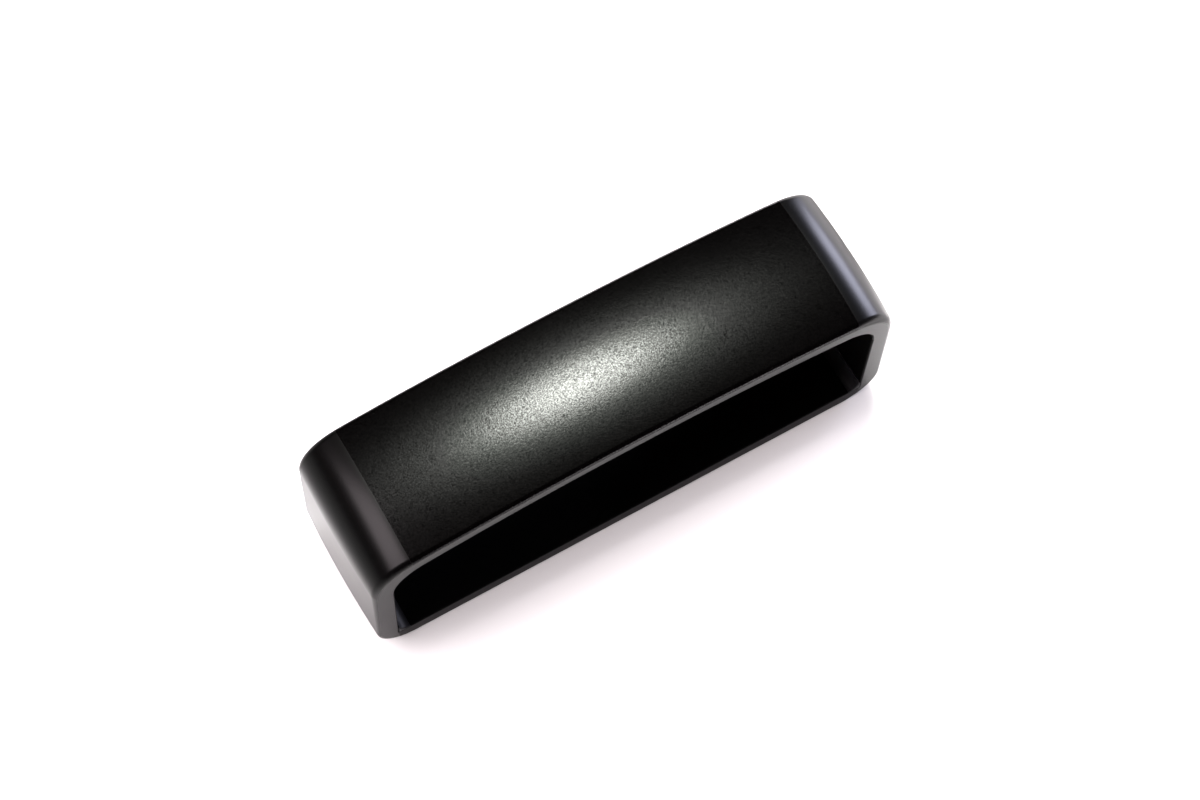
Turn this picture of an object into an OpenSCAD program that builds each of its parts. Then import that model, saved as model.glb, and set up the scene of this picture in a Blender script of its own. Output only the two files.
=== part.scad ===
// Metal strap loop, the keeper that holds the free end of a watch strap.
// Millimetres. +X runs across the strap, +Y along it, +Z up. The origin is the
// centre of the flat underside.
// The loop is a thick arched bow, closed below by a flat base plate that is
// brazed between the two legs of the bow.

/* [Strap passage] */
// Width of the strap that the loop is made for
strap_width = 22.0; // [16:0.5:30]
// Thickness of one layer of the strap
strap_thickness = 3.7; // [1.5:0.1:4.5]
// Play between the strap and each leg
side_play = 0.55; // [0.2:0.05:1.5]
// Play over two layers of the strap, at mid width
layer_play = 0.35; // [0.2:0.05:2]
// Radius of the arched ceiling, across the strap
ceiling_arch_radius = 72.0; // [40:1:120]
// Radius of the two upper corners of the passage
ceiling_corner_radius = 1.7; // [0.3:0.05:2]

/* [Bow] */
// Length of the loop along the strap
depth = 6.75; // [4:0.05:10]
// Thickness of the legs at the front and rear rims
leg_thickness = 0.95; // [0.6:0.05:2]
// Thickness of the top at the middle of the front and rear rims
rim_thickness = 0.72; // [0.4:0.02:2]
// Height of the crest over the front and rear rims
crown_rise = 0.35; // [0.1:0.05:1.5]
// Radius of the arched top, across the strap
top_arch_radius = 97.0; // [80:1:400]
// Swell of each end at mid depth
end_swell = 0.1; // [0.02:0.01:0.3]

/* [Shoulders] */
// Radius of the rounding between the top and each end
shoulder_radius = 2.5; // [2.5:0.05:4]
// Distance in from the end to where the rounding starts
shoulder_width = 1.85; // [1.4:0.05:2]
// Slope of the rounding where it starts, in degrees
shoulder_start_slope = 12; // [12:0.5:18]
// Radius of the two lower corners
foot_radius = 1.9; // [0.8:0.05:3]

/* [Base plate] */
// Thickness of the plate that closes the loop below
base_thickness = 0.95; // [0.6:0.05:2]

/* [Brazing] */
// Leg of the fillet that the brazing leaves in each inner corner
fillet_leg = 0.55; // [0.2:0.05:1]
// Thickness of the fillet where it runs out
fillet_toe = 0.04; // [0.02:0.01:0.1]
// Distance that the fillet stops short of each rim
fillet_setback = 0; // [0:0.05:0.5]

/* [Hidden] */
$fn = 96;
arch_fn = 720;
swell_fn = 720;

// Passage
passage_width = strap_width + 2 * side_play;
passage_height = 2 * strap_thickness + layer_play;
inner_x = passage_width / 2;
ceiling_z = base_thickness + passage_height;
ceiling_centre_z = ceiling_z - ceiling_arch_radius;
corner_x = inner_x - ceiling_corner_radius;
corner_reach = ceiling_arch_radius - ceiling_corner_radius;
corner_rise = sqrt(corner_reach * corner_reach - corner_x * corner_x);
corner_z = ceiling_centre_z + corner_rise;
tangent_x = corner_x * ceiling_arch_radius / corner_reach;

// Outer form of the bow
rim_y = depth / 2;
outer_x = inner_x + leg_thickness;
end_x = outer_x + end_swell;
rim_z = ceiling_z + rim_thickness;
crest_z = rim_z + crown_rise;
top_centre_z = rim_z - top_arch_radius;
swell_radius = (rim_y * rim_y + end_swell * end_swell) / (2 * end_swell);
foot_x = end_x - foot_radius;
shoulder_start_x = outer_x - shoulder_width;
arch_reach = sqrt(top_arch_radius * top_arch_radius - shoulder_start_x * shoulder_start_x);
shoulder_x = shoulder_start_x - shoulder_radius * sin(shoulder_start_slope);
shoulder_z = top_centre_z + arch_reach - shoulder_radius * cos(shoulder_start_slope);
seam_slope = atan(shoulder_x / (shoulder_z - top_centre_z));

// Brazing
fillet_centre = fillet_leg + 0.1;
fillet_drop = fillet_centre - fillet_toe;
fillet_side = fillet_centre - fillet_leg;
fillet_bore = sqrt(fillet_drop * fillet_drop + fillet_side * fillet_side);
fillet_length = depth - 2 * fillet_setback;

// Helper sizes, larger than the part, and the sweeps of its turned bodies
margin = 0.4;
far = 4 * crest_z;
body_below = rim_z + 4;
cutter_below = 2;
upright = 90;
sector = 24;
cutter_sweep = 100;

// Upright section of the crowned top, as deep as the loop and a little more.
// The crown is an arc that passes through height 0 at both rims.
module crown_section(below) {
    half = rim_y + margin;
    radius = (rim_y * rim_y + crown_rise * crown_rise) / (2 * crown_rise);
    low = crown_rise - radius + sqrt(radius * radius - half * half);
    union() {
        intersection() {
            translate([0, crown_rise - radius])
                circle(r = radius, $fn = arch_fn);
            translate([-half, low - 0.5])
                square([2 * half, radius]);
        }
        translate([-half, -below])
            square([2 * half, below + low]);
    }
}

// Turns an upright section about an axis along Y, from +X up towards +Z.
module turn_about_y(start, sweep, radius, faces) {
    rotate([90, 0, 0])
        rotate([0, 0, start])
            rotate_extrude(angle = sweep, $fn = faces)
                translate([radius, 0])
                    rotate([0, 0, -90])
                        children();
}

// Body under the top, which is arched both ways.
module top_body() {
    translate([0, 0, top_centre_z])
        turn_about_y(upright - sector / 2, sector, top_arch_radius, arch_fn)
            crown_section(body_below);
}

// Block outside the rounding at +X, to be cut away. It starts between the two
// places where the rounding meets the arch, so that it touches neither.
module shoulder_cutter() {
    translate([shoulder_x, 0, shoulder_z])
        turn_about_y(upright - seam_slope - cutter_sweep, cutter_sweep, shoulder_radius, arch_fn)
            difference() {
                translate([-rim_y - margin / 2, -cutter_below / 2])
                    square([depth + margin, 2 * cutter_below]);
                crown_section(cutter_below);
            }
}

// Front outline of the loop, with its rounded feet and its upper part left tall.
module front_outline() {
    union() {
        translate([-foot_x, 0])
            square([2 * foot_x, crest_z + 1]);
        translate([-end_x, foot_radius])
            square([2 * end_x, crest_z + 1 - foot_radius]);
        for (side = [-1, 1])
            translate([side * foot_x, foot_radius])
                circle(r = foot_radius);
    }
}

// Plan of the loop, with its swelling ends.
module plan_outline() {
    intersection() {
        translate([end_x - swell_radius, 0])
            circle(r = swell_radius, $fn = swell_fn);
        translate([swell_radius - end_x, 0])
            circle(r = swell_radius, $fn = swell_fn);
        square([2 * end_x + 1, depth], center = true);
    }
}

// Front outline of the strap passage. It runs down past the underside, so that
// it also clears the seat of the base plate.
module passage_outline() {
    union() {
        intersection() {
            translate([0, ceiling_centre_z])
                circle(r = ceiling_arch_radius, $fn = arch_fn);
            translate([-tangent_x, -1])
                square([2 * tangent_x, far]);
        }
        translate([-inner_x, -1])
            square([passage_width, corner_z + 1]);
        for (side = [-1, 1])
            translate([side * corner_x, corner_z])
                circle(r = ceiling_corner_radius);
    }
}

// Stands an outline up and draws it along Y.
module along_y(length) {
    rotate([90, 0, 0])
        linear_extrude(height = length, center = true)
            children();
}

// Outer form of the bow, still solid inside.
module bow_blank() {
    difference() {
        intersection() {
            along_y(depth)
                front_outline();
            linear_extrude(height = crest_z + 1)
                plan_outline();
            top_body();
        }
        shoulder_cutter();
        mirror([1, 0, 0])
            shoulder_cutter();
    }
}

// Thick arched top with its two legs, one piece.
module bow() {
    color("dimgray")
        difference() {
            bow_blank();
            along_y(depth + 2)
                passage_outline();
        }
}

// Flat plate between the legs. Its lower edges follow the rounded feet.
module base_plate() {
    color("gray")
        along_y(depth)
            intersection() {
                front_outline();
                translate([-inner_x, 0])
                    square([passage_width, base_thickness]);
            }
}

// Brazing metal in one inner corner. side is 1 for +X and -1 for -X.
module braze_fillet(side) {
    color("darkgray")
        translate([side * inner_x, 0, base_thickness])
            along_y(fillet_length)
                difference() {
                    translate([side > 0 ? -fillet_leg : 0, 0])
                        square([fillet_leg, fillet_leg]);
                    translate([-side * fillet_centre, fillet_centre])
                        circle(r = fillet_bore);
                }
}

module braze_fillet_left() {
    braze_fillet(-1);
}

module braze_fillet_right() {
    braze_fillet(1);
}

bow();
base_plate();
braze_fillet_left();
braze_fillet_right();
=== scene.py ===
"""Visual model of a metal strap loop, the keeper that holds the free end of a watch strap.

The loop is a thick arched bow whose two legs are closed below by a flat plate. Each piece is drawn in
millimetres as half an outline in the XZ plane, drawn through along Y, mirrored, given broken edges
and crowned. It then stands in place of the CAD node of the same name.
"""

import logging
import math
from dataclasses import dataclass
from enum import Enum
from typing import Callable, Iterable, Sequence

import bpy
from mathutils import Matrix, Vector


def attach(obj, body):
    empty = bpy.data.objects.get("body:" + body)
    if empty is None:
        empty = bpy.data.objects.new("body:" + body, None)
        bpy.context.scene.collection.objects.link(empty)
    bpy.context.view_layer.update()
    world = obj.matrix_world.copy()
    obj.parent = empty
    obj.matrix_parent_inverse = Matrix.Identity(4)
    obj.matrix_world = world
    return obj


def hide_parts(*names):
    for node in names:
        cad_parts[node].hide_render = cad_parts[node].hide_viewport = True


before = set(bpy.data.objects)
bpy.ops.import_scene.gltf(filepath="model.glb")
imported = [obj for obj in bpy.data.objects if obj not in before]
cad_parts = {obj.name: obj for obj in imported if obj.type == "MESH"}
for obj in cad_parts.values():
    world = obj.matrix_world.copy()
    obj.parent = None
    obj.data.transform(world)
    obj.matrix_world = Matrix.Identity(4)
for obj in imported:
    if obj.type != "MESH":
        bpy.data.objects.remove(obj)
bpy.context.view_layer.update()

LOG = logging.getLogger("strap_loop")

MM = 0.001
MICRON = 0.000001
BODY = "root"

# Lengths that count as nothing, in millimetres
TOLERANCE = 0.004
MERGE_GAP = 0.001

# Parts of a unit normal that tell a rim and a level face
RIM_NORMAL = 0.97
LEVEL_NORMAL = 0.5

# Shading and turns, in degrees, and how much the large faces count
SHARP_ANGLE = 32.0
QUARTER_TURN = 90.0
FACE_WEIGHT = 60

# What all finishes share
COAT_IOR = 1.5
COLOUR_SPREAD = 0.25
CLOUD_SPAN = (-0.2, 0.2)
LEAST_ROUGHNESS = 0.03
SPECKLE_GAIN = 6.0
NOISE_MEAN = 0.5
DIMPLE_HEIGHT = 0.5
COARSE_SCALE = 0.8
FLECK_SCALE = 0.95
RUB_STRETCH = (0.6, 6.0, 6.0)

Object = bpy.types.Object
Socket = bpy.types.NodeSocket
NodeTree = bpy.types.NodeTree
Point = tuple[float, float]
Colour = tuple[float, float, float]
EdgeTest = Callable[[Vector, Vector], bool]


class Side(Enum):
    """The two ends of the loop."""

    LEFT = "left"
    RIGHT = "right"


class Region(Enum):
    """The differently finished areas of a piece, in the order of its material slots."""

    TOP = 0
    SHOULDER = 1
    RIM = 2
    INNER = 3
    PLATE = 4


# Sizes and outline


@dataclass(frozen=True)
class LoopSizes:
    """Driving sizes of the loop in millimetres.

    They are the construction model's, but for a lower crown and tighter rounds at shoulders and feet.

    Attributes:
        passage_half: Half the width of the strap passage.
        ceiling: Height of the passage's ceiling at mid width.
        ceiling_radius: Radius of the arched ceiling.
        ceiling_corner: Radius of the passage's upper corners.
        leg: Thickness of the legs at the rims.
        rim_z: Height of the top at the middle of the rims.
        arch_radius: Radius of the arched top.
        crown: Height of the crest over the rims.
        swell: Swell of each end at mid depth.
        half_depth: Half the length of the loop along the strap.
        shoulder_radius: Radius between the top and each end.
        foot_radius: Radius of the lower corners.
        plate: Thickness of the base plate.
        seam_lip: Height of the bow's lip that stands against the plate at the seam.
        fillet: Leg of the brazing fillets.
        fillet_toe: Thickness of the fillets where they run out.
    """

    passage_half: float = 11.55
    ceiling: float = 8.7
    ceiling_radius: float = 72.0
    ceiling_corner: float = 1.7
    leg: float = 0.95
    rim_z: float = 9.42
    arch_radius: float = 97.0
    crown: float = 0.34
    swell: float = 0.1
    half_depth: float = 3.375
    shoulder_radius: float = 2.1
    foot_radius: float = 1.75
    plate: float = 0.95
    seam_lip: float = 0.11875
    fillet: float = 0.55
    fillet_toe: float = 0.04

    @property
    def outer(self) -> float:
        """Distance from the middle to the end face at a rim."""
        return self.passage_half + self.leg

    @property
    def depth(self) -> float:
        """Length of the loop along the strap."""
        return 2 * self.half_depth

    @property
    def middle(self) -> float:
        """Height of the loop's middle."""
        return self.rim_z / 2

    @property
    def arch_centre(self) -> float:
        """Height of the axis that the top is arched about."""
        return self.rim_z - self.arch_radius

    @property
    def shoulder_centre(self) -> Point:
        """Finds the rounding that joins the top to the end face.

        Returns:
            Its centre.
        """
        x = self.outer - self.shoulder_radius
        reach = self.arch_radius - self.shoulder_radius
        return x, self.arch_centre + math.sqrt(reach**2 - x**2)

    @property
    def arch_turn(self) -> float:
        """Angle from the crest to the start of the shoulder, in degrees."""
        reach = self.arch_radius - self.shoulder_radius
        return math.degrees(math.asin(self.shoulder_centre[0] / reach))

    @property
    def shoulder_start(self) -> float:
        """Distance from the middle to the start of the shoulder."""
        return self.arch_radius * math.sin(math.radians(self.arch_turn))

    @property
    def foot_centre(self) -> Point:
        """Centre of the rounded lower corner."""
        return self.outer - self.foot_radius, self.foot_radius

    @property
    def seam_turn(self) -> float:
        """Angle round the foot from the end face to the seam, in degrees."""
        return math.degrees(math.acos((self.passage_half - self.foot_centre[0]) / self.foot_radius))

    @property
    def seam_z(self) -> float:
        """Height of the lowest point of the seam between leg and plate."""
        return self.foot_radius * (1 - math.sin(math.radians(self.seam_turn)))

    @property
    def ceiling_centre(self) -> float:
        """Height of the axis that the ceiling is arched about."""
        return self.ceiling - self.ceiling_radius

    @property
    def corner_centre(self) -> Point:
        """Finds the rounded upper corner of the passage.

        Returns:
            Its centre.
        """
        x = self.passage_half - self.ceiling_corner
        reach = self.ceiling_radius - self.ceiling_corner
        return x, self.ceiling_centre + math.sqrt(reach**2 - x**2)

    @property
    def ceiling_turn(self) -> float:
        """Angle from mid ceiling to the rounded corner, in degrees."""
        reach = self.ceiling_radius - self.ceiling_corner
        return math.degrees(math.asin(self.corner_centre[0] / reach))

    def outer_height(self, x: float) -> float:
        """Height of the outer surface at a rim.

        Args:
            x: Distance from the middle, either side.

        Returns:
            Height of the arched top or of the shoulder there.
        """
        x = min(abs(x), self.outer)
        if x <= self.shoulder_start:
            return self.arch_centre + math.sqrt(self.arch_radius**2 - x**2)
        centre = self.shoulder_centre
        return centre[1] + math.sqrt(self.shoulder_radius**2 - (x - centre[0]) ** 2)

    def lean(self, x: float, z: float) -> float:
        """Sine of the angle between the outline's normal and the vertical.

        Args:
            x: Distance from the middle, either side.
            z: Height.

        Returns:
            0 on a level face and 1 on the upright end face.
        """
        x = abs(x)
        if z < self.foot_radius:
            return min(1.0, max(0.0, (x - self.foot_centre[0]) / self.foot_radius))
        if z < self.shoulder_centre[1]:
            return 1.0
        if x <= self.shoulder_start:
            return x / self.arch_radius
        return min(1.0, (x - self.shoulder_centre[0]) / self.shoulder_radius)

    def is_outside(self, x: float, z: float) -> bool:
        """Tells the outer surface of the bow from the wall of the passage.

        Args:
            x: Distance from the middle, either side.
            z: Height.

        Returns:
            True for a point nearer to the outer surface.
        """
        x = abs(x)
        if z < self.corner_centre[1]:
            rise = max(0.0, self.foot_radius - z)
            outer = self.foot_centre[0] + math.sqrt(max(0.0, self.foot_radius**2 - rise**2))
            return x > (self.passage_half + outer) / 2 or z < self.seam_z + TOLERANCE
        if x > self.corner_centre[0]:
            drop = max(0.0, self.ceiling_corner**2 - (x - self.corner_centre[0]) ** 2)
            inner = self.corner_centre[1] + math.sqrt(drop)
        else:
            inner = self.ceiling_centre + math.sqrt(self.ceiling_radius**2 - x**2)
        return x > self.passage_half + TOLERANCE or z > (self.outer_height(x) + inner) / 2


SIZES = LoopSizes()


# Modelling tools


def deselect_objects() -> None:
    """Leaves object mode with nothing selected."""
    if bpy.context.object and bpy.context.object.mode != "OBJECT":
        bpy.ops.object.mode_set(mode="OBJECT")
    bpy.ops.object.select_all(action="DESELECT")


def make_active(piece: Object) -> None:
    """Selects one object alone and makes it active.

    Args:
        piece: The object.
    """
    deselect_objects()
    piece.select_set(True)
    bpy.context.view_layer.objects.active = piece


def open_mesh(piece: Object, kind: str, action: str) -> None:
    """Opens a mesh for editing with everything or nothing selected.

    Args:
        piece: The object to edit.
        kind: What gets selected: VERT, EDGE or FACE.
        action: SELECT or DESELECT.
    """
    make_active(piece)
    bpy.ops.object.mode_set(mode="EDIT")
    bpy.ops.mesh.select_mode(type=kind)
    bpy.ops.mesh.select_all(action=action)


def apply_modifier(piece: Object, kind: str, **settings: object) -> None:
    """Adds a modifier and applies it at once.

    Args:
        piece: The object to change.
        kind: Blender's name for the modifier.
        settings: Values for the modifier's properties.
    """
    make_active(piece)
    modifier = piece.modifiers.new(kind.title(), kind)
    for name, value in settings.items():
        setattr(modifier, name, value)
    bpy.ops.object.modifier_apply(modifier=modifier.name)


def move_points(piece: Object, rule: Callable[[Vector], Vector]) -> None:
    """Moves every point of a mesh by a rule.

    Args:
        piece: The object to change.
        rule: Gives a point's new place from its old one.
    """
    for vertex in piece.data.vertices:
        vertex.co = rule(vertex.co.copy())
    piece.data.update()


class Sketch:
    """Draws open chains of edges in the XZ plane of a new mesh, by extruding and spinning a point."""

    def __init__(self, name: str, y: float) -> None:
        """Adds an empty mesh and opens it for editing.

        Args:
            name: Name of the new object.
            y: Place of the sketch plane along the strap.
        """
        deselect_objects()
        bpy.ops.mesh.primitive_plane_add(size=1.0)
        self.piece = bpy.context.object
        self.piece.name = self.piece.data.name = name
        self.y = y
        bpy.ops.object.mode_set(mode="EDIT")
        bpy.ops.mesh.select_mode(type="VERT")
        bpy.ops.mesh.delete(type="VERT")

    def start(self, x: float, z: float) -> None:
        """Starts a chain with a single point, made from a primitive that is merged at its centre.

        Args:
            x: Distance from the middle.
            z: Height.
        """
        bpy.ops.mesh.select_all(action="DESELECT")
        bpy.ops.mesh.primitive_plane_add(size=1.0, location=(x, self.y, z))
        bpy.ops.mesh.merge(type="CENTER")

    def line(self, x: float, z: float, steps: int) -> None:
        """Draws a straight stretch, cut into equal steps.

        Args:
            x: Length of the move across.
            z: Length of the move upwards.
            steps: Number of steps.
        """
        for _ in range(steps):
            move = (x / steps, 0.0, z / steps)
            bpy.ops.mesh.extrude_region_move(TRANSFORM_OT_translate={"value": move})

    def arc(self, centre: Point, degrees: float, steps: int) -> None:
        """Draws an arc about a centre.

        Args:
            centre: The centre.
            degrees: Length of the arc, positive from +Z towards +X.
            steps: Number of steps.
        """
        bpy.ops.mesh.spin(
            steps=steps,
            angle=-math.radians(degrees),
            center=(centre[0], self.y, centre[1]),
            axis=(0.0, 1.0, 0.0),
        )

    def ladder(self) -> Object:
        """Bridges the two drawn chains with a row of quads and leaves edit mode.

        Returns:
            The object with the row of faces.
        """
        bpy.ops.mesh.select_all(action="SELECT")
        bpy.ops.mesh.select_mode(type="EDGE")
        bpy.ops.mesh.bridge_edge_loops()
        bpy.ops.object.mode_set(mode="OBJECT")
        return self.piece


def copy_piece(piece: Object, name: str) -> Object:
    """Copies an object, with a mesh of its own.

    Args:
        piece: The object to copy.
        name: Name of the copy.

    Returns:
        The copy.
    """
    twin = piece.copy()
    twin.data = piece.data.copy()
    twin.name = twin.data.name = name
    bpy.context.scene.collection.objects.link(twin)
    return twin


def draw_through(piece: Object, length: float) -> None:
    """Extrudes a flat row of faces along Y into a solid.

    Args:
        piece: The object with the row of faces.
        length: Length of the solid.
    """
    open_mesh(piece, "FACE", "SELECT")
    bpy.ops.mesh.extrude_region_move(TRANSFORM_OT_translate={"value": (0.0, length, 0.0)})
    bpy.ops.object.mode_set(mode="OBJECT")


def cut_across(piece: Object, cuts: int) -> None:
    """Cuts the long edges of a drawn-through piece, so that it can be crowned.

    Args:
        piece: The object to cut.
        cuts: Number of cuts across it.
    """
    select_edges(piece, lambda a, b: abs(a.y - b.y) > SIZES.half_depth)
    bpy.ops.mesh.subdivide(number_cuts=cuts)
    bpy.ops.object.mode_set(mode="OBJECT")


def select_edges(piece: Object, wanted: EdgeTest) -> int:
    """Selects the edges of a mesh that pass a test of their two ends, and leaves it in edit mode.

    Args:
        piece: The object to edit.
        wanted: Test of an edge's two ends.

    Returns:
        The number of edges selected.
    """
    open_mesh(piece, "EDGE", "DESELECT")
    bpy.ops.object.mode_set(mode="OBJECT")
    mesh = piece.data
    count = 0
    for edge in mesh.edges:
        first, second = (mesh.vertices[index].co for index in edge.vertices)
        edge.select = wanted(first, second)
        count += edge.select
    bpy.ops.object.mode_set(mode="EDIT")
    return count


def mirror_halves(piece: Object) -> None:
    """Mirrors a right half about the middle, without the faces between the halves.

    Args:
        piece: The object with the right half.
    """
    open_mesh(piece, "FACE", "DESELECT")
    bpy.ops.object.mode_set(mode="OBJECT")
    for face in piece.data.polygons:
        face.select = abs(face.center.x) < TOLERANCE
    bpy.ops.object.mode_set(mode="EDIT")
    bpy.ops.mesh.delete(type="FACE")
    bpy.ops.object.mode_set(mode="OBJECT")
    apply_modifier(piece, "MIRROR", use_clip=True, merge_threshold=TOLERANCE)
    point_outwards(piece)


def point_outwards(piece: Object) -> None:
    """Merges doubled points and points all faces outwards.

    Args:
        piece: The object to change.
    """
    open_mesh(piece, "VERT", "SELECT")
    bpy.ops.mesh.remove_doubles(threshold=MERGE_GAP)
    bpy.ops.mesh.normals_make_consistent(inside=False)
    bpy.ops.object.mode_set(mode="OBJECT")


def on_one_rim(a: Vector, b: Vector) -> bool:
    """Tells an edge that lies in the front or in the rear face."""
    return min(abs(a.y), abs(b.y)) > SIZES.half_depth - TOLERANCE and a.y * b.y > 0


def weigh_edges(piece: Object, wanted: EdgeTest, weight: float) -> None:
    """Gives the edges that pass a test a bevel weight.

    Args:
        piece: The object to change.
        wanted: Test of an edge's two ends.
        weight: The weight, from 0 to 1.
    """
    if select_edges(piece, wanted):
        bpy.ops.transform.edge_bevelweight(value=weight)
    bpy.ops.object.mode_set(mode="OBJECT")


def round_edges(piece: Object, width: float, segments: int) -> None:
    """Rounds every weighted edge.

    Args:
        piece: The object to change.
        width: Radius where the weight is 1.
        segments: Steps of the rounding.
    """
    apply_modifier(
        piece,
        "BEVEL",
        width=width,
        segments=segments,
        limit_method="WEIGHT",
        use_clamp_overlap=False,
    )


def even_shading(piece: Object) -> None:
    """Shades smooth except at sharp edges, with normals that favour the large faces.

    Args:
        piece: The object to shade.
    """
    make_active(piece)
    bpy.ops.object.shade_smooth_by_angle(angle=math.radians(SHARP_ANGLE))
    apply_modifier(piece, "WEIGHTED_NORMAL", keep_sharp=True, weight=FACE_WEIGHT)


def to_metres(piece: Object) -> None:
    """Scales a piece drawn in millimetres to the frame's metres, inside its mesh.

    Args:
        piece: The object to scale.
    """
    make_active(piece)
    piece.scale = (MM, MM, MM)
    bpy.ops.object.transform_apply(location=True, rotation=True, scale=True)


def hand_over(piece: Object, node: str) -> None:
    """Puts a finished piece on its body, in place of a CAD node.

    Args:
        piece: The finished object.
        node: The CAD node that it stands for.
    """
    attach(piece, BODY)
    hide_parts(node)


def crown_point(point: Vector) -> Vector:
    """Lifts a point of the outer surface by the crown of the top and the swell of the ends.

    Args:
        point: A point of the plain drawn-through form, in millimetres.

    Returns:
        The point on the crowned form.
    """
    if not SIZES.is_outside(point.x, point.z):
        return point
    share = 1 - (point.y / SIZES.half_depth) ** 2
    lean = SIZES.lean(point.x, point.z)
    side = math.copysign(1.0, point.x) if abs(point.x) > TOLERANCE else 0.0
    rise = math.sqrt(1 - lean**2) if point.z > SIZES.shoulder_centre[1] else 0.0
    return point + Vector((side * SIZES.swell * lean * share, 0.0, SIZES.crown * rise * share))


# Node groups and finishes


class NodeSheet:
    """A node tree with short calls to add and join nodes."""

    def __init__(self, tree: NodeTree) -> None:
        """Takes the tree to work on."""
        self.tree = tree

    def add(self, kind: str, **values: object) -> bpy.types.Node:
        """Adds a node, and sets its properties or, where it has none of that name, its inputs.

        Args:
            kind: Blender's type name for the node.
            values: Property or input values, an input's name with _ for each blank.

        Returns:
            The new node.
        """
        node = self.tree.nodes.new(kind)
        for name, value in values.items():
            if hasattr(node, name):
                setattr(node, name, value)
            else:
                node.inputs[name.replace("_", " ")].default_value = value
        return node

    def join(self, source: Socket, target: Socket) -> None:
        """Links an output to an input."""
        self.tree.links.new(source, target)

    def math(self, operation: str, *terms: object) -> Socket:
        """Adds a Math node.

        Args:
            operation: The operation's name.
            terms: Numbers or sockets, in order.

        Returns:
            The result's socket.
        """
        node = self.add("ShaderNodeMath", operation=operation)
        for index, term in enumerate(terms):
            if isinstance(term, Socket):
                self.join(term, node.inputs[index])
            else:
                node.inputs[index].default_value = term
        return node.outputs[0]

    def ramp(self, source: Socket, span: Point, values: Point) -> Socket:
        """Adds a smooth passage from one value to another.

        Args:
            source: The socket that is followed.
            span: Where the passage starts and ends.
            values: The values there.

        Returns:
            The result's socket.
        """
        node = self.add("ShaderNodeMapRange", interpolation_type="SMOOTHSTEP")
        for label, value in zip(("From Min", "From Max", "To Min", "To Max"), (*span, *values)):
            node.inputs[label].default_value = value
        self.join(source, node.inputs["Value"])
        return node.outputs["Result"]

    def blend(self, mask: Socket, first: Colour, second: Colour) -> Socket:
        """Adds a mix of two colours.

        Args:
            mask: The socket that is followed.
            first: The colour where the mask is 0.
            second: The colour where the mask is 1.

        Returns:
            The mixed colour's socket.
        """
        node = self.add("ShaderNodeMix", data_type="RGBA")
        plugs = [plug for plug in node.inputs if plug.type == "RGBA"]
        for plug, colour in zip(plugs, (first, second)):
            plug.default_value = (*colour, 1.0)
        self.join(mask, node.inputs[0])
        return next(plug for plug in node.outputs if plug.type == "RGBA")


def new_group(name: str, inputs: dict[str, str], outputs: Iterable[str]) -> NodeTree:
    """Makes an empty shader node group with named sockets.

    Args:
        name: Name of the group.
        inputs: Name and socket type of each input.
        outputs: Names of the float outputs.

    Returns:
        The group, with its input and output nodes.
    """
    group = bpy.data.node_groups.new(name, "ShaderNodeTree")
    for label, kind in inputs.items():
        group.interface.new_socket(label, in_out="INPUT", socket_type=kind)
    for label in outputs:
        group.interface.new_socket(label, in_out="OUTPUT", socket_type="NodeSocketFloat")
    group.nodes.new("NodeGroupInput")
    group.nodes.new("NodeGroupOutput")
    return group


def bead_grain_group() -> NodeTree:
    """Builds the grain that bead blasting leaves: small dimples over a fine roughness.

    Returns:
        A group that turns a place in millimetres into a height and a fleck mask.
    """
    inputs = {"Place": "NodeSocketVector", "Beads per mm": "NodeSocketFloat"}
    group = new_group("bead_grain", inputs, ("Height", "Fleck"))
    sheet = NodeSheet(group)
    source = group.nodes["Group Input"]
    target = group.nodes["Group Output"]
    dimples = sheet.add("ShaderNodeTexVoronoi", feature="SMOOTH_F1", Smoothness=0.6)
    coarse = sheet.add("ShaderNodeTexNoise", Detail=2.0, Roughness=0.6)
    fleck = sheet.add("ShaderNodeTexNoise", Detail=1.0, Roughness=0.5)
    for node, share in ((dimples, 1.0), (coarse, COARSE_SCALE), (fleck, FLECK_SCALE)):
        sheet.join(source.outputs["Place"], node.inputs["Vector"])
        sheet.join(sheet.math("MULTIPLY", source.outputs["Beads per mm"], share), node.inputs["Scale"])
    depth = dimples.outputs["Distance"]
    height = sheet.math("MULTIPLY_ADD", depth, DIMPLE_HEIGHT, coarse.outputs["Fac"])
    sheet.join(height, target.inputs["Height"])
    sheet.join(sheet.math("SUBTRACT", fleck.outputs["Fac"], NOISE_MEAN), target.inputs["Fleck"])
    return group


def coat_mottle_group() -> NodeTree:
    """Builds the slow unevenness of a thin coat: broad clouds and faint rub marks.

    Returns:
        A group that turns a place in millimetres into a cloud value and a rub value, both about zero.
    """
    group = new_group("coat_mottle", {"Place": "NodeSocketVector"}, ("Cloud", "Rub"))
    sheet = NodeSheet(group)
    source = group.nodes["Group Input"]
    target = group.nodes["Group Output"]
    cloud = sheet.add("ShaderNodeTexNoise", Scale=0.55, Detail=3.0, Roughness=0.55)
    stretch = sheet.add("ShaderNodeMapping", Scale=RUB_STRETCH)
    rub = sheet.add("ShaderNodeTexNoise", Scale=1.0, Detail=4.0, Roughness=0.7)
    sheet.join(source.outputs["Place"], cloud.inputs["Vector"])
    sheet.join(source.outputs["Place"], stretch.inputs["Vector"])
    sheet.join(stretch.outputs["Vector"], rub.inputs["Vector"])
    sheet.join(sheet.math("SUBTRACT", cloud.outputs["Fac"], NOISE_MEAN), target.inputs["Cloud"])
    sheet.join(sheet.math("SUBTRACT", rub.outputs["Fac"], NOISE_MEAN), target.inputs["Rub"])
    return group


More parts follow.
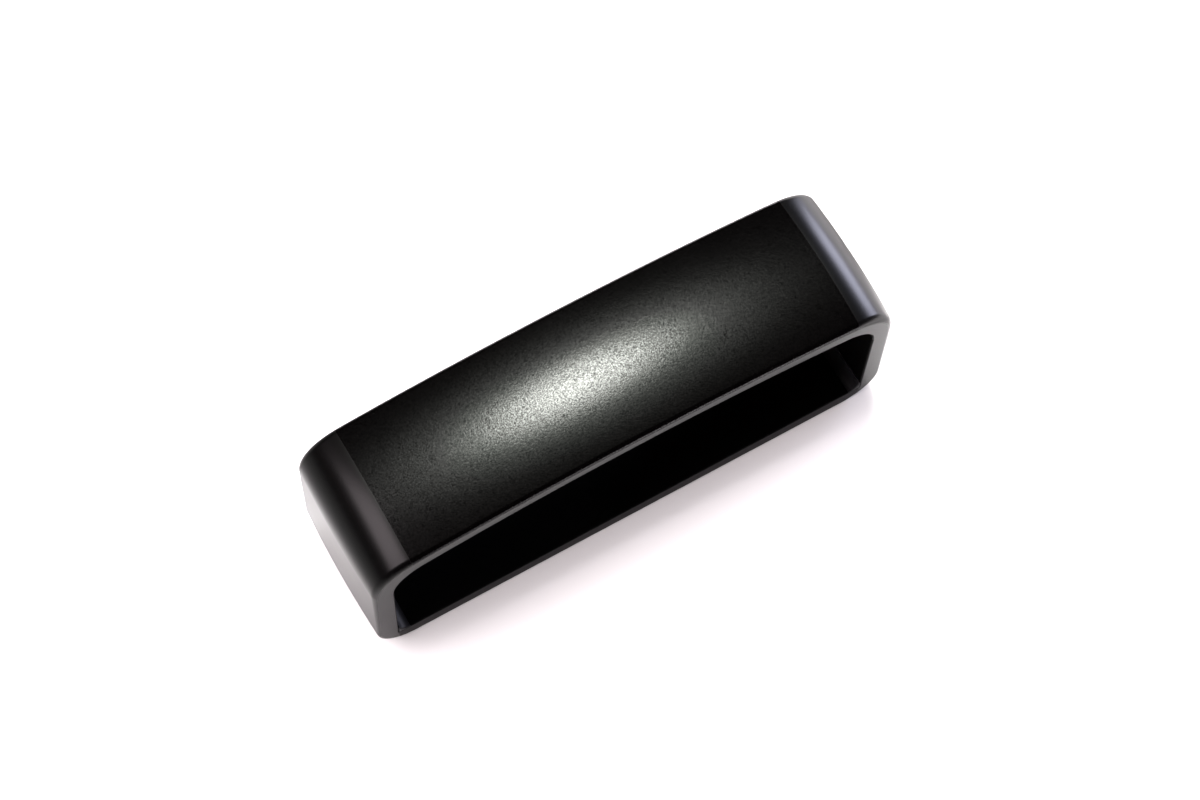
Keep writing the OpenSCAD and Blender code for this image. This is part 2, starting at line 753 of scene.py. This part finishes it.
@dataclass(frozen=True)
class BlackCoat:
    """One finish of the black coat over steel.

    Attributes:
        name: Name of the material.
        colour: Colour of the coat.
        roughness: Mean roughness.
        cloud: How far the roughness drifts over a few millimetres.
        rub: How far fine rub marks change the roughness.
        beads: Grain size as beads per millimetre.
        grain: Depth of the grain, in micrometres.
        fleck: How far single grains change the roughness.
        specular: Strength of the mirror part.
        speckle: How far single grains weaken the mirror part.
    """

    name: str
    colour: Colour
    roughness: float
    cloud: float
    rub: float
    beads: float
    grain: float
    fleck: float = 0.0
    specular: float = 0.5
    speckle: float = 0.0

    def build(self, grains: NodeTree, clouds: NodeTree) -> bpy.types.Material:
        """Builds the material.

        Args:
            grains: The bead grain group.
            clouds: The coat mottle group.

        Returns:
            The finished material.
        """
        material = bpy.data.materials.new(self.name)
        material.use_nodes = True
        sheet = NodeSheet(material.node_tree)
        shader = material.node_tree.nodes["Principled BSDF"]
        shader.inputs["IOR"].default_value = COAT_IOR
        shader.inputs["Specular IOR Level"].default_value = self.specular
        place = sheet.add("ShaderNodeTexCoord")
        scaled = sheet.add("ShaderNodeVectorMath", operation="SCALE", Scale=1 / MM)
        sheet.join(place.outputs["Object"], scaled.inputs[0])
        grain = sheet.add("ShaderNodeGroup", node_tree=grains, Beads_per_mm=self.beads)
        mottle = sheet.add("ShaderNodeGroup", node_tree=clouds)
        sheet.join(scaled.outputs[0], grain.inputs["Place"])
        sheet.join(scaled.outputs[0], mottle.inputs["Place"])
        dark = tuple(channel * (1 - COLOUR_SPREAD) for channel in self.colour)
        light = tuple(channel * (1 + COLOUR_SPREAD) for channel in self.colour)
        mask = sheet.ramp(mottle.outputs["Cloud"], CLOUD_SPAN, (0.0, 1.0))
        sheet.join(sheet.blend(mask, dark, light), shader.inputs["Base Color"])
        value = sheet.math("MULTIPLY_ADD", mottle.outputs["Cloud"], self.cloud, self.roughness)
        value = sheet.math("MULTIPLY_ADD", mottle.outputs["Rub"], self.rub, value)
        value = sheet.math("MULTIPLY_ADD", grain.outputs["Fleck"], self.fleck, value)
        sheet.join(sheet.math("MAXIMUM", value, LEAST_ROUGHNESS), shader.inputs["Roughness"])
        gain = SPECKLE_GAIN * self.speckle
        loss = sheet.math("MULTIPLY_ADD", grain.outputs["Fleck"], gain, self.speckle)
        sheet.join(sheet.math("MAXIMUM", loss, 0.0), shader.inputs["Metallic"])
        bump = sheet.add("ShaderNodeBump", Strength=1.0, Distance=self.grain * MICRON)
        sheet.join(grain.outputs["Height"], bump.inputs["Height"])
        sheet.join(bump.outputs["Normal"], shader.inputs["Normal"])
        return material


BLASTED = BlackCoat(
    "blasted_black_coat",
    colour=(0.0009, 0.0006, 0.0007),
    roughness=0.185,
    cloud=0.015,
    rub=0.0,
    beads=17.0,
    grain=1.4,
    fleck=0.01,
    specular=0.7,
    speckle=0.34,
)
SMOOTH = BlackCoat(
    "smooth_black_coat",
    colour=(0.0012, 0.0009, 0.001),
    roughness=0.3,
    cloud=0.02,
    rub=0.02,
    beads=12.0,
    grain=0.15,
)
GROUND = BlackCoat(
    "ground_black_coat",
    colour=(0.0015, 0.0012, 0.0013),
    roughness=0.22,
    cloud=0.03,
    rub=0.05,
    beads=14.0,
    grain=0.4,
)
DULL = BlackCoat(
    "dull_black_coat",
    colour=(0.0015, 0.0011, 0.0012),
    roughness=0.4,
    cloud=0.04,
    rub=0.05,
    beads=12.0,
    grain=0.5,
    specular=0.22,
)
BORE = BlackCoat(
    "bore_black_coat",
    colour=(0.0014, 0.0009, 0.001),
    roughness=0.42,
    cloud=0.04,
    rub=0.08,
    beads=8.0,
    grain=0.6,
    specular=0.15,
)
# Painted reflection: the fillets' lighter, bluish colour stands in for the bluish window light that
# their hollows reflect, over the black coat.
BRAZED_PAINTED_SHEEN = BlackCoat(
    "brazed_coat_painted_sheen",
    colour=(0.02, 0.0195, 0.023),
    roughness=0.5,
    cloud=0.05,
    rub=0.02,
    beads=5.0,
    grain=2.0,
)


class Finishes:
    """The built materials of all finishes."""

    def __init__(self) -> None:
        """Builds the shared node groups and then every material."""
        grain = bead_grain_group()
        mottle = coat_mottle_group()
        self.by_region = {
            Region.TOP: BLASTED.build(grain, mottle),
            Region.SHOULDER: SMOOTH.build(grain, mottle),
            Region.RIM: GROUND.build(grain, mottle),
            Region.INNER: BORE.build(grain, mottle),
            Region.PLATE: DULL.build(grain, mottle),
        }
        self.brazed = BRAZED_PAINTED_SHEEN.build(grain, mottle)

    def dress(self, piece: Object, region_of: Callable[[Vector, Vector], Region]) -> None:
        """Gives a piece one slot per region and each face its region's slot.

        Args:
            piece: The object to dress, in millimetres.
            region_of: Gives the region from a face's centre and normal.
        """
        for region in Region:
            piece.data.materials.append(self.by_region[region])
        for face in piece.data.polygons:
            face.material_index = region_of(face.center, face.normal).value


# Pieces


@dataclass
class Bow:
    """The thick arched top with its two legs.

    Attributes:
        arch_steps: Steps of the arched top, and of the ceiling under it.
        shoulder_steps: Steps of the rounded shoulder, and of the ceiling's corner.
        wall_steps: Steps of the upright end.
        foot_steps: Steps of the rounded foot.
        cuts: Cuts across the loop.
        rounding: Radius of the outer edges at the shoulders.
        top_share: Rounding of the top's edges, as a share of the shoulders' one.
        leg_share: The same for the legs and feet.
        inner_share: The same for the passage's edges.
        seam_share: The same for the seam's edges.
        segments: Steps of each rounded edge.
    """

    arch_steps: int = 44
    shoulder_steps: int = 30
    wall_steps: int = 12
    foot_steps: int = 14
    cuts: int = 31
    rounding: float = 0.3
    top_share: float = 0.75
    leg_share: float = 0.6
    inner_share: float = 0.3
    seam_share: float = 0.04
    segments: int = 6

    def build(self, finishes: Finishes) -> Object:
        """Models and dresses the bow.

        Args:
            finishes: The built materials.

        Returns:
            The finished object.
        """
        piece = self._rim_ladder()
        draw_through(piece, SIZES.depth)
        mirror_halves(piece)
        weigh_edges(piece, lambda a, b: self._is_outer(a, b) and self._is_shoulder(a, b), 1.0)
        weigh_edges(piece, lambda a, b: self._is_outer(a, b) and self._is_top(a, b), self.top_share)
        weigh_edges(piece, lambda a, b: self._is_outer(a, b) and self._is_leg(a, b), self.leg_share)
        weigh_edges(piece, self._is_inner, self.inner_share)
        weigh_edges(piece, self._is_seam, self.seam_share)
        round_edges(piece, self.rounding, self.segments)
        cut_across(piece, self.cuts)
        move_points(piece, crown_point)
        even_shading(piece)
        finishes.dress(piece, self._region)
        to_metres(piece)
        hand_over(piece, "bow")
        return piece

    def _rim_ladder(self) -> Object:
        """Draws the right half of the rim: the outer outline, the passage and the quads between.

        Returns:
            The object with the row of faces.
        """
        sketch = Sketch("bow_shell", -SIZES.half_depth)
        sketch.start(0.0, SIZES.rim_z)
        sketch.arc((0.0, SIZES.arch_centre), SIZES.arch_turn, self.arch_steps)
        sketch.arc(SIZES.shoulder_centre, QUARTER_TURN - SIZES.arch_turn, self.shoulder_steps)
        sketch.line(0.0, SIZES.foot_radius - SIZES.shoulder_centre[1], self.wall_steps)
        sketch.arc(SIZES.foot_centre, SIZES.seam_turn, self.foot_steps)
        sketch.start(0.0, SIZES.ceiling)
        sketch.arc((0.0, SIZES.ceiling_centre), SIZES.ceiling_turn, self.arch_steps)
        sketch.arc(SIZES.corner_centre, QUARTER_TURN - SIZES.ceiling_turn, self.shoulder_steps)
        drop = SIZES.seam_z + SIZES.seam_lip - SIZES.corner_centre[1]
        sketch.line(0.0, drop, self.wall_steps + self.foot_steps)
        return sketch.ladder()

    def _is_outer(self, a: Vector, b: Vector) -> bool:
        """Tells an edge of the outer outline on a rim."""
        return on_one_rim(a, b) and SIZES.is_outside(a.x, a.z) and SIZES.is_outside(b.x, b.z)

    def _is_top(self, a: Vector, b: Vector) -> bool:
        """Tells an edge between the shoulders."""
        return max(abs(a.x), abs(b.x)) < SIZES.shoulder_start + TOLERANCE and min(a.z, b.z) > SIZES.plate

    def _is_leg(self, a: Vector, b: Vector) -> bool:
        """Tells an edge below the shoulders."""
        return max(a.z, b.z) < SIZES.shoulder_centre[1] + TOLERANCE

    def _is_shoulder(self, a: Vector, b: Vector) -> bool:
        """Tells an edge of a shoulder."""
        return not self._is_top(a, b) and not self._is_leg(a, b)

    def _is_inner(self, a: Vector, b: Vector) -> bool:
        """Tells an edge of the passage's outline on a rim, above the plate."""
        inside = not SIZES.is_outside(a.x, a.z) and not SIZES.is_outside(b.x, b.z)
        return on_one_rim(a, b) and inside and min(a.z, b.z) > SIZES.plate

    def _is_seam(self, a: Vector, b: Vector) -> bool:
        """Tells the long edge where the leg meets the plate below."""
        low = max(a.z, b.z) < SIZES.seam_z + TOLERANCE
        return low and abs(a.y - b.y) > SIZES.half_depth

    def _region(self, centre: Vector, normal: Vector) -> Region:
        """Finds the region of a face.

        Args:
            centre: The face's centre.
            normal: The face's normal.

        Returns:
            The region.
        """
        if abs(normal.y) > RIM_NORMAL:
            return Region.RIM
        if not SIZES.is_outside(centre.x, centre.z):
            return Region.INNER
        if abs(centre.x) < SIZES.shoulder_start + TOLERANCE and normal.z > 0:
            return Region.TOP
        return Region.SHOULDER


@dataclass
class BasePlate:
    """The flat plate that closes the loop below, set between the legs.

    Attributes:
        flat_steps: Steps of the flat underside.
        foot_steps: Steps of the rounded stretch up to the seam.
        cuts: Cuts across the plate.
        rounding: Radius of the lower edges at the rims.
        inner_share: Rounding of the upper edges, as a share of the lower one.
        seam_share: Rounding of the seam's edges, as a share of the lower one.
        segments: Steps of each rounded edge.
    """

    flat_steps: int = 30
    foot_steps: int = 10
    cuts: int = 31
    rounding: float = 0.18
    inner_share: float = 0.5
    seam_share: float = 0.067
    segments: int = 6

    def build(self, finishes: Finishes) -> Object:
        """Models and dresses the plate.

        Args:
            finishes: The built materials.

        Returns:
            The finished object.
        """
        sketch = Sketch("base_plate_shell", -SIZES.half_depth)
        sketch.start(0.0, 0.0)
        sketch.line(SIZES.foot_centre[0], 0.0, self.flat_steps)
        sketch.arc(SIZES.foot_centre, SIZES.seam_turn - QUARTER_TURN, self.foot_steps)
        sketch.start(0.0, SIZES.plate)
        sketch.line(SIZES.passage_half, 0.0, self.flat_steps + self.foot_steps)
        piece = sketch.ladder()
        draw_through(piece, SIZES.depth)
        mirror_halves(piece)
        weigh_edges(piece, self._is_lower, 1.0)
        weigh_edges(piece, self._is_upper, self.inner_share)
        weigh_edges(piece, self._is_seam, self.seam_share)
        round_edges(piece, self.rounding, self.segments)
        cut_across(piece, self.cuts)
        move_points(piece, self._swell)
        even_shading(piece)
        finishes.dress(piece, self._region)
        to_metres(piece)
        hand_over(piece, "base_plate")
        return piece

    def _is_lower(self, a: Vector, b: Vector) -> bool:
        """Tells an edge of the underside's outline on a rim."""
        return on_one_rim(a, b) and max(a.z, b.z) < SIZES.seam_z + TOLERANCE

    def _is_upper(self, a: Vector, b: Vector) -> bool:
        """Tells an edge of the plate's top on a rim."""
        return on_one_rim(a, b) and min(a.z, b.z) > SIZES.plate - TOLERANCE

    def _is_seam(self, a: Vector, b: Vector) -> bool:
        """Tells the long edge where the plate meets the leg below."""
        low = abs(min(a.z, b.z) - SIZES.seam_z) < TOLERANCE
        return low and abs(a.y - b.y) > SIZES.half_depth

    def _swell(self, point: Vector) -> Vector:
        """Swells the rounded underside as the bow's feet swell."""
        return crown_point(point) if point.z < SIZES.seam_z + TOLERANCE else point

    def _region(self, centre: Vector, normal: Vector) -> Region:
        """Tells the plate's top, which lies in the passage, from its other faces."""
        return Region.INNER if normal.z > LEVEL_NORMAL else Region.PLATE


@dataclass
class BrazeFillets:
    """The brazing metal in the two inner corners, finished flush with the rims.

    Attributes:
        steps: Steps of the hollow arc, an even number.
        cuts: Cuts along each fillet.
        rounding: Radius of the end edges.
        segments: Steps of each rounded edge.
    """

    steps: int = 12
    cuts: int = 24
    rounding: float = 0.06
    segments: int = 3

    def build(self, finishes: Finishes) -> list[Object]:
        """Models one fillet, copies it for the other corner, and finishes both.

        Args:
            finishes: The built materials.

        Returns:
            The finished objects, left and right.
        """
        left = self._plain_fillet()
        right = copy_piece(left, "braze_fillet_right_shell")
        move_points(left, lambda point: Vector((-point.x, point.y, point.z)))
        for side, piece in ((Side.LEFT, left), (Side.RIGHT, right)):
            point_outwards(piece)
            weigh_edges(piece, self._is_hollow_end, 1.0)
            round_edges(piece, self.rounding, self.segments)
            cut_across(piece, self.cuts)
            even_shading(piece)
            piece.data.materials.append(finishes.brazed)
            to_metres(piece)
            hand_over(piece, f"braze_fillet_{side.value}")
        return [left, right]

    def _plain_fillet(self) -> Object:
        """Draws the fillet of the right corner, still with sharp edges.

        Returns:
            The object, in the name of the left fillet.
        """
        leg = SIZES.fillet
        wall = SIZES.passage_half
        floor = SIZES.plate
        sketch = Sketch("braze_fillet_left_shell", -SIZES.half_depth)
        sketch.start(wall - SIZES.fillet_toe, floor + leg)
        sketch.arc((wall - leg, floor + leg), QUARTER_TURN, self.steps)
        sketch.start(wall, floor + leg)
        sketch.line(0.0, -leg, self.steps // 2)
        sketch.line(-leg, 0.0, self.steps // 2)
        piece = sketch.ladder()
        draw_through(piece, SIZES.depth)
        return piece

    def _is_hollow_end(self, a: Vector, b: Vector) -> bool:
        """Tells an edge of the hollow face at either end of the fillet."""
        gaps = (min(SIZES.passage_half - abs(end.x), end.z - SIZES.plate) for end in (a, b))
        return on_one_rim(a, b) and min(gaps) > TOLERANCE


# Studio


@dataclass(frozen=True)
class Lamp:
    """A soft area light that faces the loop.

    Attributes:
        name: Name of the light.
        direction: Direction from the loop to the light.
        distance: Distance in metres.
        size: Width and height in metres.
        power: Power in watts.
        colour: Colour of the light.
        mirrored: Whether it reaches the loop and shows in gloss. Otherwise it reaches only the floor.
        round: Whether it is a disc. Otherwise it is a rectangle.
    """

    name: str
    direction: tuple[float, float, float]
    distance: float
    size: tuple[float, float]
    power: float
    colour: Colour = (1.0, 1.0, 1.0)
    mirrored: bool = True
    round: bool = False

    def build(self, floor: Object) -> None:
        """Adds the light.

        Args:
            floor: The floor, which is all that an unmirrored light reaches.
        """
        data = bpy.data.lights.new(self.name, "AREA")
        data.shape = "ELLIPSE" if self.round else "RECTANGLE"
        data.size, data.size_y = self.size
        data.energy = self.power
        data.color = self.colour
        lamp = bpy.data.objects.new(self.name, data)
        bpy.context.scene.collection.objects.link(lamp)
        away = Vector(self.direction).normalized()
        lamp.location = away * self.distance + Vector((0.0, 0.0, SIZES.middle * MM))
        lamp.rotation_euler = away.to_track_quat("Z", "Y").to_euler()
        lamp.visible_glossy = self.mirrored
        if not self.mirrored:
            receivers = bpy.data.collections.new(self.name + "_receivers")
            receivers.objects.link(floor)
            lamp.light_linking.receiver_collection = receivers
        lamp.visible_camera = False


@dataclass(frozen=True)
class Pool:
    """A round patch of the floor that gloss sees lighter or darker: painted light where its gain is
    positive and painted shade where it is negative.

    Attributes:
        place: Its middle, in millimetres.
        radius: Its radius in millimetres.
        gain: How much it adds to the floor's share at its middle.
    """

    place: Point
    radius: float
    gain: float


@dataclass(frozen=True)
class View:
    """The photograph's view of the loop.

    Attributes:
        azimuth: Angle of the view about the vertical, in degrees.
        elevation: Height of the view, in degrees.
        roll: Turn of the picture, in degrees.
        target: Point that the view is measured from, in millimetres.
        distance: Distance from that point, in millimetres.
        offset: How far the target lies right of and above the camera's axis, in millimetres.
        shift: Share of the picture's width that the lens is shifted by, right and up.
        lens: Focal length in millimetres.
        film: Width of the film in millimetres.
        near: Distance in metres at which the view starts.
    """

    azimuth: float = -29.607
    elevation: float = 70.12
    roll: float = 0.326
    target: tuple[float, float, float] = (0.0, 0.0, 4.0)
    distance: float = 128.71
    offset: Point = (3.153, 2.661)
    shift: Point = (0.06465, 0.06794)
    lens: float = 90.0
    film: float = 36.0
    near: float = 0.001

    def build(self) -> None:
        """Adds the camera and makes it the scene's."""
        turn, rise, roll = (math.radians(angle) for angle in (self.azimuth, self.elevation, self.roll))
        flat = math.cos(rise)
        back = Vector((math.sin(turn) * flat, -math.cos(turn) * flat, math.sin(rise)))
        level = Vector((math.cos(turn), math.sin(turn), 0.0))
        above = back.cross(level)
        right = level * math.cos(roll) + above * math.sin(roll)
        up = above * math.cos(roll) - level * math.sin(roll)
        place = Vector(self.target) + back * self.distance - right * self.offset[0] - up * self.offset[1]
        data = bpy.data.cameras.new("photo_view")
        data.lens = self.lens
        data.sensor_width = self.film
        data.shift_x, data.shift_y = self.shift
        data.clip_start = self.near
        camera = bpy.data.objects.new("photo_view", data)
        bpy.context.scene.collection.objects.link(camera)
        turned = Matrix((right, up, back)).transposed().to_4x4()
        camera.matrix_world = Matrix.Translation(place * MM) @ turned
        bpy.context.scene.camera = camera


# The soft patch of light on the crest is the sum of three discs, each with its width and power
CREST = (0.172, 0.297, 0.939)
CREST_TINT = (0.97, 1.0, 0.93)
CREST_DISCS = {"crest_core": (0.042, 0.18), "crest_light": (0.098, 0.43), "crest_glow": (0.229, 0.077)}

LAMPS = (
    *(
        Lamp(name, CREST, distance=0.4, size=(width, width), power=power, colour=CREST_TINT, round=True)
        for name, (width, power) in CREST_DISCS.items()
    ),
    Lamp(
        "window_light",
        direction=(0.94, 0.24, 0.25),
        distance=0.4,
        size=(0.185, 0.155),
        power=1.0,
        colour=(0.8, 0.81, 1.0),
    ),
    Lamp(
        "side_panel",
        direction=(-0.54, 0.13, 0.83),
        distance=0.4,
        size=(0.21, 0.29),
        power=0.61,
        colour=(1.0, 0.88, 0.92),
    ),
    Lamp(
        "top_fill",
        direction=(-0.25, 0.42, 0.87),
        distance=0.5,
        size=(0.9, 0.9),
        power=9.2,
        colour=(1.0, 0.94, 0.955),
        mirrored=False,
    ),
    Lamp(
        "front_fill",
        direction=(0.1, -0.6, 0.8),
        distance=0.6,
        size=(0.5, 0.5),
        power=0.95,
        colour=(1.0, 0.88, 0.91),
        mirrored=False,
    ),
)


@dataclass
class Studio:
    """The pale floor, the lights round it and the view.

    Attributes:
        floor_size: Width of the floor in metres.
        floor_roughness: Roughness of the floor.
        floor_tone: Reflectance of the floor near the loop.
        painted_far_tone: Tone of the floor far away, painted darker as shade in place of the lights'
            falloff.
        near: Distance in metres at which the floor starts to darken.
        far: Distance in metres at which it has darkened.
        mirrored_near: Share of the floor's tone that gloss sees near the loop, left and right, dimmed as
            painted shade in the loop's reflections.
        mirrored_far: The same far from the loop.
        mirrored_sides: Places in metres where the left and the right share hold.
        mirrored_reach: Distances in metres where the near and the far share hold.
        painted_reflection_pools: Places that gloss sees lighter or darker, as painted light and painted
            shade in the loop's reflections.
        surround: Colour that gloss sees all round.
        backdrop: Colour that the camera sees past the floor.
        lamps: The lights.
        view: The camera's view.
    """

    floor_size: float = 3.0
    floor_roughness: float = 0.9
    floor_tone: float = 0.86
    painted_far_tone: float = 0.6
    near: float = 0.045
    far: float = 0.16
    mirrored_near: Point = (0.44, 0.42)
    mirrored_far: Point = (0.15, 1.0)
    mirrored_sides: Point = (-0.012, 0.012)
    mirrored_reach: Point = (0.013, 0.035)
    # Patches of painted light and painted shade that only the loop's reflections show
    painted_reflection_pools: Sequence[Pool] = (
        Pool((-13.0, 3.0), radius=9.0, gain=0.65),
        Pool((20.0, 5.0), radius=14.0, gain=-0.2),
        Pool((15.0, -4.5), radius=5.0, gain=0.24),
        Pool((16.0, -2.1), radius=4.5, gain=1.7),
        Pool((22.0, -1.1), radius=5.0, gain=1.4),
    )
    surround: Colour = (0.022, 0.016, 0.017)
    backdrop: Colour = (0.8, 0.8, 0.8)
    lamps: Sequence[Lamp] = LAMPS
    view: View = View()

    def build(self) -> None:
        """Builds the floor, the surround, the lights and the camera."""
        floor = self._floor()
        self._surround()
        for lamp in self.lamps:
            lamp.build(floor)
        self.view.build()
        bpy.context.scene.view_settings.view_transform = "Standard"
        bpy.context.scene.view_settings.look = "None"
        LOG.info("studio: %d lights", len(self.lamps))

    def _floor(self) -> Object:
        """Adds the floor, pale near the loop and painted a little darker far away as shade in place of
        the lights' falloff, with painted light and shade that only gloss sees.

        Returns:
            The floor's object.
        """
        deselect_objects()
        bpy.ops.mesh.primitive_plane_add(size=self.floor_size)
        floor = bpy.context.object
        floor.name = "floor"
        material = bpy.data.materials.new("pale_floor")
        material.use_nodes = True
        sheet = NodeSheet(material.node_tree)
        shader = material.node_tree.nodes["Principled BSDF"]
        shader.inputs["Roughness"].default_value = self.floor_roughness
        shader.inputs["Specular IOR Level"].default_value = 0.0
        place = sheet.add("ShaderNodeTexCoord").outputs["Object"]
        length = sheet.add("ShaderNodeVectorMath", operation="LENGTH")
        sheet.join(place, length.inputs[0])
        reach = length.outputs["Value"]
        # Painted shade: the floor's tone falls from near to far in place of the lights' falloff.
        tone = sheet.ramp(reach, (self.near, self.far), (self.floor_tone, self.painted_far_tone))
        # Painted reflection: gloss sees the floor's tone scaled by a share that paints light and shade
        # into the loop's reflections.
        loss = sheet.math("SUBTRACT", self._painted_reflection_share(sheet, place, reach), 1.0)
        gloss = sheet.add("ShaderNodeLightPath").outputs["Is Glossy Ray"]
        dimmed = sheet.math("MULTIPLY_ADD", loss, gloss, 1.0)
        sheet.join(sheet.math("MULTIPLY", tone, dimmed), shader.inputs["Base Color"])
        floor.data.materials.append(material)
        return floor

    def _painted_reflection_share(self, sheet: NodeSheet, place: Socket, reach: Socket) -> Socket:
        """Adds the nodes for the share of the floor's tone that gloss sees, which paints light and shade
        into the loop's reflections.

        Args:
            sheet: The floor's node tree.
            place: The place on the floor.
            reach: Its distance from the middle.

        Returns:
            The share's socket.
        """
        split = sheet.add("ShaderNodeSeparateXYZ")
        sheet.join(place, split.inputs[0])
        near = sheet.ramp(split.outputs["X"], self.mirrored_sides, self.mirrored_near)
        far = sheet.ramp(split.outputs["X"], self.mirrored_sides, self.mirrored_far)
        away = sheet.ramp(reach, self.mirrored_reach, (0.0, 1.0))
        share = sheet.math("MULTIPLY_ADD", sheet.math("SUBTRACT", far, near), away, near)
        # Each pool paints light into the reflections where its gain is positive and shade where it is
        # negative.
        for pool in self.painted_reflection_pools:
            gap = sheet.add("ShaderNodeVectorMath", operation="DISTANCE")
            gap.inputs[1].default_value = (pool.place[0] * MM, pool.place[1] * MM, 0.0)
            sheet.join(place, gap.inputs[0])
            lift = sheet.ramp(gap.outputs["Value"], (0.0, pool.radius * MM), (pool.gain, 0.0))
            share = sheet.math("ADD", share, lift)
        return share

    def _surround(self) -> None:
        """Makes the world pale to the camera and dark to everything else."""
        world = bpy.data.worlds.new("surround")
        bpy.context.scene.world = world
        world.use_nodes = True
        sheet = NodeSheet(world.node_tree)
        output = world.node_tree.nodes["World Output"]
        seen = world.node_tree.nodes["Background"]
        seen.inputs["Color"].default_value = (*self.surround, 1.0)
        past = sheet.add("ShaderNodeBackground", Color=(*self.backdrop, 1.0))
        path = sheet.add("ShaderNodeLightPath")
        mix = sheet.add("ShaderNodeMixShader")
        sheet.join(path.outputs["Is Camera Ray"], mix.inputs[0])
        sheet.join(seen.outputs[0], mix.inputs[1])
        sheet.join(past.outputs[0], mix.inputs[2])
        sheet.join(mix.outputs[0], output.inputs["Surface"])


def main() -> None:
    """Builds the studio and the four pieces in order."""
    logging.basicConfig(level=logging.INFO, format="%(name)s %(message)s")
    Studio().build()
    finishes = Finishes()
    pieces = [Bow().build(finishes), BasePlate().build(finishes), *BrazeFillets().build(finishes)]
    for piece in pieces:
        LOG.info("%s: %d faces", piece.name, len(piece.data.polygons))
    deselect_objects()


if __name__ == "__main__":
    main()
